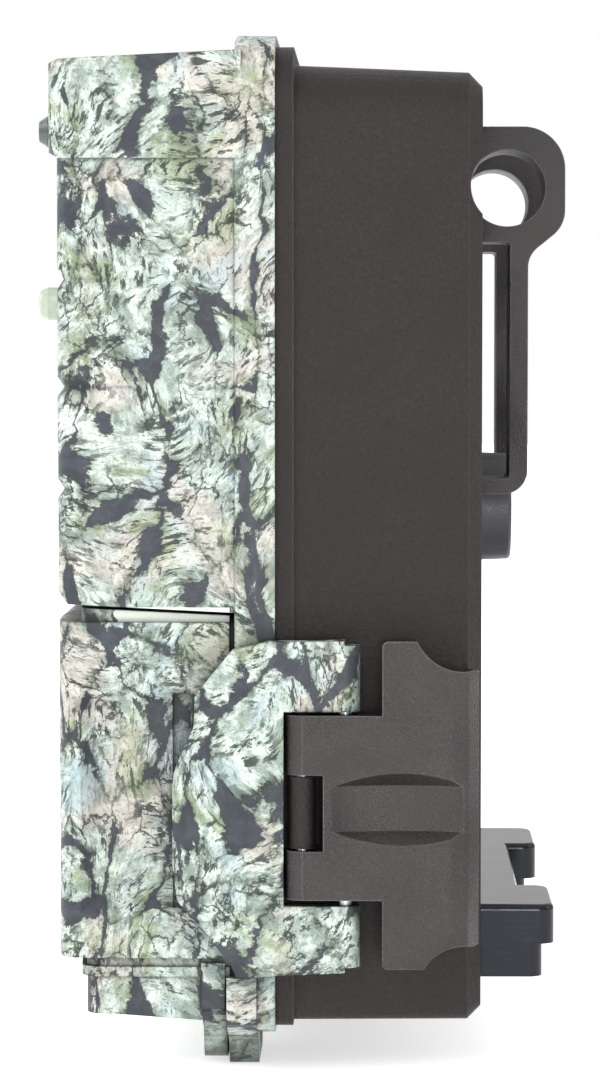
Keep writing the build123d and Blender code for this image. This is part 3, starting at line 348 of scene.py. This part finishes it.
def latch_plastic(name, dark, light, rough):
    """Smoother brown plastic of the lever and brackets: satin sheen, fine sparkle, painted edge highlights
    and painted shade in corners.
    """
    s = Shader(name)
    place = s.place()
    tone = s.noise(place, 0.12, 3.0)["Fac"]
    grain = s.noise(place, 3.4, 4.0, 0.6)["Fac"]
    sway = s.noise(place, 0.045, 1.0)["Fac"]
    colour = s.mix(s.ramp(tone, 0.3, 0.7), dark, light)
    # Painted highlight along the edges, then painted shade in corners and recesses
    colour = s.mix(s.painted_edge_highlight(0.35, 0.7), colour, srgb(120, 114, 116))
    colour = s.mix(s.painted_corner_shade(4.0, 0.8), colour, srgb(10, 8, 9))
    curve = s.bump(sway, 7.0, 1.0, s.soft_edges(0.35))
    s.set(Base_Color=colour, Roughness=s.ramp(grain, 0.3, 0.7, rough, rough + 0.14),
          Normal=s.bump(grain, 0.16, 0.9, curve))
    return s.material


def gloss_plastic(name, dark, light, roughness):
    """Polished plastic with a faint ripple and fine handling marks."""
    s = Shader(name)
    ripple = s.noise(s.place(), 0.09, 2.0)["Fac"]
    marks = s.noise(s.place((1.0, 0.1, 1.0)), 2.2, 3.0, 0.7)["Fac"]
    s.set(Base_Color=s.mix(s.ramp(ripple, 0.3, 0.7), dark, light),
          Roughness=s.ramp(marks, 0.4, 0.8, roughness, roughness + 0.1),
          Normal=s.bump(ripple, 0.15, 0.3, s.soft_edges(0.3)),
          Specular_Tint=srgb(226, 240, 255), Specular_IOR_Level=0.3)
    return s.material


def moulded_plastic(name, dark, light, roughness=0.5, grain_scale=3.0):
    """Satin moulded plastic with fine grain and slight tone changes."""
    s = Shader(name)
    grain = s.noise(s.place(), grain_scale, 3.0)["Fac"]
    broad = s.noise(s.place(), 0.12, 2.0)["Fac"]
    s.set(Base_Color=s.mix(s.ramp(broad, 0.3, 0.7), dark, light),
          Roughness=s.ramp(grain, 0.3, 0.7, roughness - 0.05, roughness + 0.08),
          Normal=s.bump(grain, 0.03, 0.4, s.soft_edges(0.15)))
    return s.material


def brushed_metal(name, base, stretch, roughness=0.3):
    """Metal with fine lines along one axis."""
    s = Shader(name)
    lines = s.noise(s.place(stretch), 6.0, 4.0, 0.6)["Fac"]
    darker = tuple(part * 0.6 for part in base[:3]) + (1.0,)
    s.set(Base_Color=s.mix(s.ramp(lines, 0.3, 0.7), darker, base), Metallic=1.0,
          Roughness=s.ramp(lines, 0.3, 0.7, roughness - 0.08, roughness + 0.12),
          Normal=s.bump(lines, 0.02, 0.4, s.soft_edges(0.08)))
    return s.material


def window_plastic(name, base, roughness, transmission, tint_depth=0.5):
    """Moulded optical plastic: smoked window, indicator or clear cover."""
    s = Shader(name)
    haze = s.noise(s.place(), 0.5, 3.0)["Fac"]
    deeper = tuple(part * tint_depth for part in base[:3]) + (1.0,)
    s.set(Base_Color=s.mix(s.ramp(haze, 0.3, 0.7), deeper, base),
          Roughness=s.ramp(haze, 0.3, 0.7, roughness, roughness + 0.06),
          Transmission_Weight=transmission, IOR=1.49)
    return s.material


def circuit_board():
    """Solder mask with traces and pads."""
    s = Shader("circuit_board")
    place = s.place()
    inputs = {"Vector": place, "Scale": 0.55}
    cells = s.add("ShaderNodeTexVoronoi", inputs, feature="F1", distance="MANHATTAN")
    eighth_turn = (0.0, 0.785, 0.0)
    traces = s.voronoi_edge(s.place(turn=eighth_turn), 0.22)
    trace = s.opposite(s.ramp(traces, 0.02, 0.035))
    pad = s.opposite(s.ramp(cells.outputs["Distance"], 0.16, 0.2))
    mask = s.mix(trace, srgb(18, 74, 40), srgb(36, 112, 62))
    s.set(Base_Color=s.mix(pad, mask, srgb(196, 190, 176)), Metallic=s.math("MULTIPLY", pad, 0.9),
          Roughness=0.32, Normal=s.bump(trace, 0.03, 0.5))
    return s.material


def battery_wrap():
    """Cell sleeve: dark wrap with a copper-coloured band towards the plus end."""
    s = Shader("battery_wrap")
    along = s.parts(s.place())["X"]
    low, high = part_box("battery_cells")
    band_start = high.x / MM - 14.0
    band = s.ramp(along, band_start, band_start + 0.2)
    cap = s.ramp(along, high.x / MM - 1.6, high.x / MM - 1.5)
    base_cap = s.opposite(s.ramp(along, low.x / MM + 0.5, low.x / MM + 0.6))
    wrap = s.mix(band, srgb(34, 36, 40), srgb(176, 112, 58))
    ends = s.math("MAXIMUM", cap, base_cap)
    scuff = s.noise(s.place((0.2, 1.0, 1.0)), 2.0, 3.0)["Fac"]
    s.set(Base_Color=s.mix(ends, wrap, srgb(196, 196, 198)), Metallic=s.ramp(ends, 0.4, 0.6, 0.35, 1.0),
          Roughness=s.ramp(scuff, 0.3, 0.7, 0.22, 0.36))
    return s.material


def sensor_film():
    """Pale translucent sensor lens with a grid of ring facets."""
    s = Shader("sensor_film")
    inputs = {"Vector": s.place((1.0, 0.05, 1.0)), "Scale": 0.17, "Randomness": 0.0}
    facets = s.add("ShaderNodeTexVoronoi", inputs, feature="F1")
    rings = s.math("SINE", s.math("MULTIPLY", facets.outputs["Distance"], 60.0))
    s.set(Base_Color=s.mix(s.ramp(rings, -1.0, 1.0), srgb(134, 140, 132), srgb(176, 182, 172)),
          Roughness=0.34, Subsurface_Weight=0.15, Normal=s.bump(rings, 0.12, 0.5))
    s.bsdf.inputs["Subsurface Radius"].default_value = (0.001, 0.001, 0.001)
    return s.material


def screen_glass():
    """Dark reflective display cover."""
    s = Shader("screen_glass")
    haze = s.noise(s.place(), 0.3, 2.0)["Fac"]
    s.set(Base_Color=s.mix(s.ramp(haze, 0.3, 0.7), srgb(22, 28, 32), srgb(30, 38, 42)), Roughness=0.06)
    return s.material


# Materials by the record's slots, and four more for the nodes named in SPECIAL
MATERIALS = {
    "camo_plastic": bark_camouflage(),
    "brown_plastic": pebbled_plastic(),
    "latch_plastic": latch_plastic("latch_brown_plastic", srgb(25, 17, 17), srgb(32, 24, 24), 0.22),
    "bracket_plastic": latch_plastic("bracket_brown_plastic", srgb(22, 15, 16), srgb(30, 22, 23), 0.4),
    "gloss_brown": gloss_plastic("gloss_brown_plastic", srgb(16, 12, 13), srgb(23, 19, 20), 0.13),
    "dark_collar": moulded_plastic("collar_plastic", srgb(40, 41, 46), srgb(50, 51, 56), 0.45),
    "black_plastic": moulded_plastic("black_plastic", srgb(24, 24, 26), srgb(34, 34, 36), 0.48),
    "key_plastic": moulded_plastic("key_plastic", srgb(104, 108, 110), srgb(122, 126, 128), 0.42),
    "seal_rubber": moulded_plastic("seal_rubber", srgb(28, 28, 29), srgb(40, 40, 41), 0.75, 1.6),
    "smoked_window": window_plastic("smoked_window", srgb(30, 33, 34), 0.05, 0.0),
    "smoked_dome": window_plastic("smoked_dome", srgb(92, 102, 96), 0.16, 0.25, 0.75),
    "indicator_glass": window_plastic("indicator_glass", srgb(196, 210, 190), 0.18, 0.3, 0.85),
    "clear_glass": window_plastic("clear_glass", srgb(235, 240, 240), 0.02, 0.95, 0.97),
    "screen_glass": screen_glass(),
    "emitter": gloss_plastic("emitter_resin", srgb(70, 48, 92), srgb(88, 62, 110), 0.1),
    "sensor_film": sensor_film(),
    "board": circuit_board(),
    "chips": moulded_plastic("chip_resin", srgb(36, 36, 38), srgb(48, 48, 50), 0.55, 4.0),
    "cable": moulded_plastic("cable_film", srgb(178, 120, 48), srgb(204, 146, 66), 0.35),
    "steel": brushed_metal("zinc_steel", srgb(196, 198, 200), (1.0, 1.0, 0.1)),
    "brass": brushed_metal("turned_brass", srgb(214, 178, 104), (1.0, 0.1, 1.0), 0.26),
    "cell_wrap": battery_wrap(),
}

# Nodes whose look differs from the rest of their slot
SPECIAL = {
    "latch_lever": "latch_plastic",
    "strap_bracket_left": "bracket_plastic",
    "strap_bracket_right": "bracket_plastic",
    "light_sensor_dome": "smoked_dome",
    "lcd_glass": "screen_glass",
}


def dress_nodes():
    """Every CAD node gets the material of its slot."""
    for entry in frame["record"]["subparts"]:
        node = NODES[entry["node"]]
        key = SPECIAL.get(entry["node"], entry["material_slot"])
        node.data.materials.clear()
        node.data.materials.append(MATERIALS[key])


# ---- Stage -------------------------------------------------------------------------
def add_studio_world():
    """White to the camera; to the part, surroundings that fade from a bright side to a dim one."""
    world = bpy.data.worlds.new("studio")
    bpy.context.scene.world = world
    world.use_nodes = True
    tree = world.node_tree
    background = tree.nodes["Background"]
    direction = tree.nodes.new("ShaderNodeTexCoord").outputs["Generated"]
    slope = tree.nodes.new("ShaderNodeVectorMath")
    slope.operation = "DOT_PRODUCT"
    tree.links.new(direction, slope.inputs[0])
    slope.inputs[1].default_value = BRIGHT_SIDE
    glow = tree.nodes.new("ShaderNodeMapRange")
    tree.links.new(slope.outputs["Value"], glow.inputs["Value"])
    glow.inputs["From Min"].default_value = -BRIGHT_SPREAD
    glow.inputs["From Max"].default_value = BRIGHT_SPREAD
    glow.inputs["To Min"].default_value = DIM_STRENGTH
    glow.inputs["To Max"].default_value = BRIGHT_STRENGTH
    strength = tree.nodes.new("ShaderNodeMix")
    seen_directly = tree.nodes.new("ShaderNodeLightPath").outputs["Is Camera Ray"]
    tree.links.new(seen_directly, strength.inputs[MIX_FACTOR])
    tree.links.new(glow.outputs["Result"], strength.inputs[VALUE_A])
    strength.inputs[VALUE_B].default_value = 1.0
    tree.links.new(strength.outputs[VALUE_RESULT], background.inputs["Strength"])
    background.inputs["Color"].default_value = WHITE


def add_floor(height):
    """Wide pale paper under the part."""
    mesh = bpy.data.meshes.new("floor")
    signs = ((-1, -1), (1, -1), (1, 1), (-1, 1))
    corners = [(x * FLOOR_REACH, y * FLOOR_REACH, height) for x, y in signs]
    mesh.from_pydata(corners, [], [(0, 1, 2, 3)])
    floor = bpy.data.objects.new("floor", mesh)
    bpy.context.scene.collection.objects.link(floor)
    paper = Shader("paper_floor")
    fibre = paper.noise(paper.place(), 0.05, 3.0)["Fac"]
    paper.set(Base_Color=paper.mix(fibre, srgb(248, 248, 248), srgb(253, 253, 253)), Roughness=0.9,
              Emission_Color=WHITE, Emission_Strength=FLOOR_GLOW)
    mesh.materials.append(paper.material)


def aim(holder, place, target):
    """Put a light or camera in place, look at the target and link it to the scene."""
    holder.location = place
    holder.rotation_euler = (target - place).to_track_quat("-Z", "Y").to_euler()
    bpy.context.scene.collection.objects.link(holder)


def add_stage():
    """Pale floor, pale surroundings and soft lights."""
    low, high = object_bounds()
    add_floor(low.z)
    add_studio_world()
    middle = (low + high) / 2
    for name, offset, size, power in STUDIO_LIGHTS:
        lamp = bpy.data.lights.new(name, "AREA")
        lamp.shape = "SQUARE"
        lamp.size = size
        lamp.energy = power
        aim(bpy.data.objects.new(name, lamp), middle + Vector(offset), middle)


def add_camera():
    """Side view from a little above the middle, half a metre away."""
    lens = bpy.data.cameras.new("photo_camera")
    lens.sensor_fit = "VERTICAL"
    lens.sensor_height = CAMERA_SENSOR
    lens.lens = CAMERA_LENS
    lens.clip_start = CAMERA_CLIP
    camera = bpy.data.objects.new("photo_camera", lens)
    aim(camera, Vector(CAMERA_PLACE) * MM, Vector(CAMERA_TARGET) * MM)
    bpy.context.scene.camera = camera


dress_nodes()
add_stage()
add_camera()
bpy.context.scene.view_settings.view_transform = "Standard"
